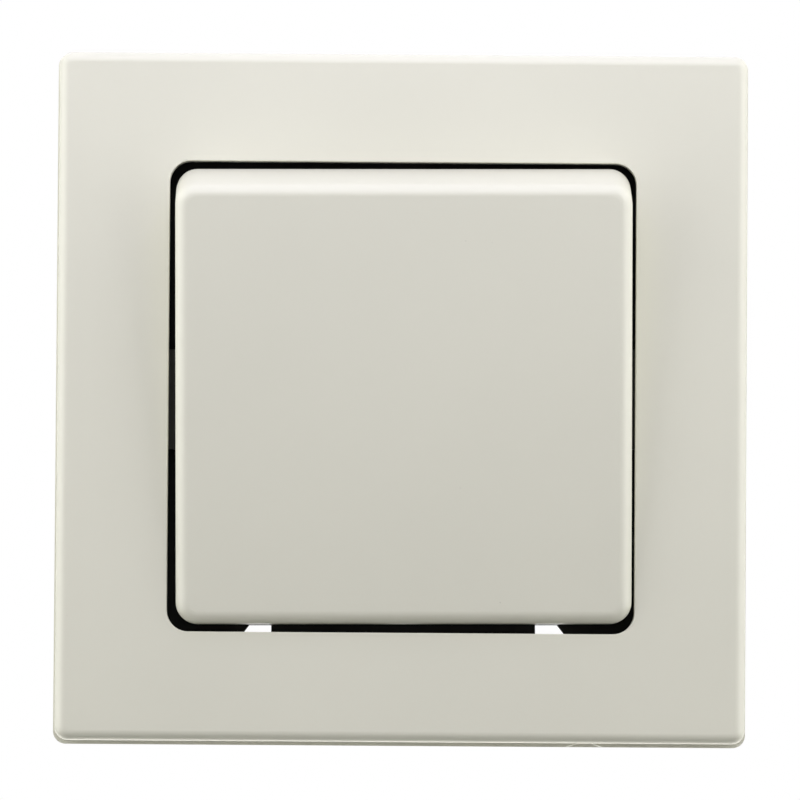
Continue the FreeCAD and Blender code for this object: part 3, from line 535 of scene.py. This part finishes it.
clampFinish = dict(plainSheet, colour=(0.42, 0.42, 0.42), rough=0.3)
clampSteel = stampedMetal("clampSteel", clampFinish)
for sideWord, side in (("left", -1), ("right", 1)):
    for levelWord, level in (("upper", 1), ("lower", -1)):
        clamp = makeClamp("bent_clamp_" + sideWord + "_" + levelWord, side, level, clampSize)
        clamp.data.materials.append(clampSteel)
        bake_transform(clamp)
        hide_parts("clamp_spring_" + sideWord + "_" + levelWord)
print("clamps bent")


# lip of the notch in the frame's lower ledge: its walls lean inwards, in millimetres from the frame's middle
notchSize = {"place": 21.9, "mouth": 2.3, "floor": 0.8, "edge": -40.95, "ledge": -40.5, "front": 1.3, "rear": 2.1,
             "lean": 0.14, "sink": 0.02, "skew": 0.39, "shift": -0.2}


def makeNotchLip(name, size):
    bm = bmesh.new()
    mouth, floor, ledge, lean, sink = (size[key] for key in ("mouth", "floor", "ledge", "lean", "sink"))
    slant = Vector((mouth - floor, ledge - size["edge"])).normalized()
    low = size["edge"] + sink
    footIn = mouth - lean / slant.y
    headIn = footIn - (ledge - lean - size["edge"]) * slant.x / slant.y
    wall = [(-mouth, low), (-floor, ledge), (floor, ledge), (mouth, low)]
    inner = [(-footIn, low), (-headIn, ledge - lean), (headIn, ledge - lean), (footIn, low)]
    skew = math.radians(size["skew"])
    front, rear = size["front"], size["rear"] + sink
    sections = []
    for (wallX, wallZ), (inX, inZ) in zip(wall, inner):
        section = []
        for across, depth, up in ((wallX, front, wallZ + sink), (wallX, rear, wallZ + sink), (inX, rear, inZ)):
            across += size["place"]
            turned = Vector((across * math.cos(skew) + up * math.sin(skew) + size["shift"], depth,
                             up * math.cos(skew) - across * math.sin(skew)))
            section.append(bm.verts.new(turned * mm))
        sections.append(section)
    skinLoops(bm, sections)
    return finishMesh(bm, name, sharpAngle=20)


lip = makeNotchLip("notch_lip", notchSize)
lip.data.materials.append(nodes["cover_frame"].data.materials[0])
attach(lip, "housing")
print("notch lipped")


# studio: soft boxes above, in front and at both sides, a low rim and a fill behind
def addLamp(name, place, aim, size, watts, colour):
    data = bpy.data.lights.new(name, "AREA")
    data.shape = "RECTANGLE"
    data.size, data.size_y = size
    data.energy = watts
    data.color = colour
    lamp = bpy.data.objects.new(name, data)
    scene.collection.objects.link(lamp)
    lamp.location = place
    lamp.rotation_euler = (Vector(aim) - Vector(place)).to_track_quat("-Z", "Y").to_euler()


coolLight, warmLight = (1, 0.99, 1.18), (1, 0.96, 0.7)
lamps = {
    "topBack": dict(place=(0, -0.05, 0.15), aim=(0, -0.05, 0), size=(0.2, 0.35), watts=0.13, colour=coolLight),
    "topFront": dict(place=(0, -0.14, 0.16), aim=(0, -0.02, 0), size=(0.25, 0.2), watts=0.224, colour=coolLight),
    "leftBox": dict(place=(-0.25, -0.11, 0.06), aim=(0, -0.11, 0.06), size=(0.32, 0.4), watts=0.91,
                    colour=(1, 1, 0.97)),
    "rightBox": dict(place=(0.25, -0.11, 0.06), aim=(0, -0.11, 0.06), size=(0.32, 0.4), watts=0.91,
                     colour=(1, 1, 0.97)),
    "frontHigh": dict(place=(0, -1.1, 0.6), aim=(0, 0, 0), size=(1.0, 0.6), watts=1.8, colour=warmLight),
    "lowRim": dict(place=(0, 0.15, -0.2), aim=(0, 0, -0.04), size=(0.4, 0.2), watts=0.56, colour=(1, 0.98, 0.9)),
    "backFill": dict(place=(0, 0.5, 0.05), aim=(0, 0, 0), size=(0.5, 0.4), watts=1.2, colour=(1, 1, 1)),
}
for name, lamp in lamps.items():
    addLamp(name, **lamp)


def seenRays(tree):
    path = tree.nodes.new("ShaderNodeLightPath")
    seen = mathNode(tree, "MAXIMUM", path.outputs["Is Camera Ray"], path.outputs["Is Transmission Ray"])
    return mathNode(tree, "MAXIMUM", seen, path.outputs["Is Glossy Ray"])


# white to the camera and in reflections, almost dark as a light
world = bpy.data.worlds.new("studio")
scene.world = world
world.use_nodes = True
tree = world.node_tree
backdrop = tree.nodes["Background"]
worldLevel = 0.05
strength = mathNode(tree, "ADD", mathNode(tree, "MULTIPLY", seenRays(tree), 1 - worldLevel), worldLevel)
tree.links.new(strength, backdrop.inputs["Strength"])
backdrop.inputs["Color"].default_value = (1, 1, 1, 1)

# white paper floor, well below the picture
floorSize = {"side": 6.0, "level": -1.1, "glow": 0.96}
bpy.ops.mesh.primitive_plane_add(size=floorSize["side"], location=(0, 0, floorSize["level"]))
floor = bpy.context.object
floor.name = "floor"
floorFinish = dict(plainMould, colour=(0.85, 0.85, 0.85), rough=0.7, rub=0.0)
floorPaper = mouldedPlastic("floorPaper", floorFinish)
floor.data.materials.append(floorPaper)
tree = floorPaper.node_tree
shader = tree.nodes["Principled BSDF"]
tree.links.new(mathNode(tree, "MULTIPLY", seenRays(tree), floorSize["glow"]), shader.inputs["Emission Color"])
shader.inputs["Emission Strength"].default_value = 1.0
print("studio ready")

# camera far away, level with the frame's lower edge and a little left of the middle
shot = {"distance": 0.9, "azimuth": -0.484, "elevation": -2.557, "target": (-0.00018, -0.007, 0.0),
        "pixelsPerMm": 8.51, "centre": (402.1, 397.2), "imageSide": 800, "sensor": 36.0, "clipStart": 0.01}
camData = bpy.data.cameras.new("camera")
camera = bpy.data.objects.new("camera", camData)
scene.collection.objects.link(camera)
scene.camera = camera
azimuth, elevation = math.radians(shot["azimuth"]), math.radians(shot["elevation"])
flat = math.cos(elevation)
away = Vector((math.sin(azimuth) * flat, -math.cos(azimuth) * flat, math.sin(elevation)))
camera.location = Vector(shot["target"]) + away * shot["distance"]
camera.rotation_euler = (-away).to_track_quat("-Z", "Y").to_euler()
pixels = shot["imageSide"]
camData.sensor_width = shot["sensor"]
camData.lens = shot["sensor"] * shot["distance"] / mm * shot["pixelsPerMm"] / pixels
camData.shift_x = (pixels / 2 - shot["centre"][0]) / pixels
camData.shift_y = (shot["centre"][1] - pixels / 2) / pixels
camData.clip_start = shot["clipStart"]
print("camera set")
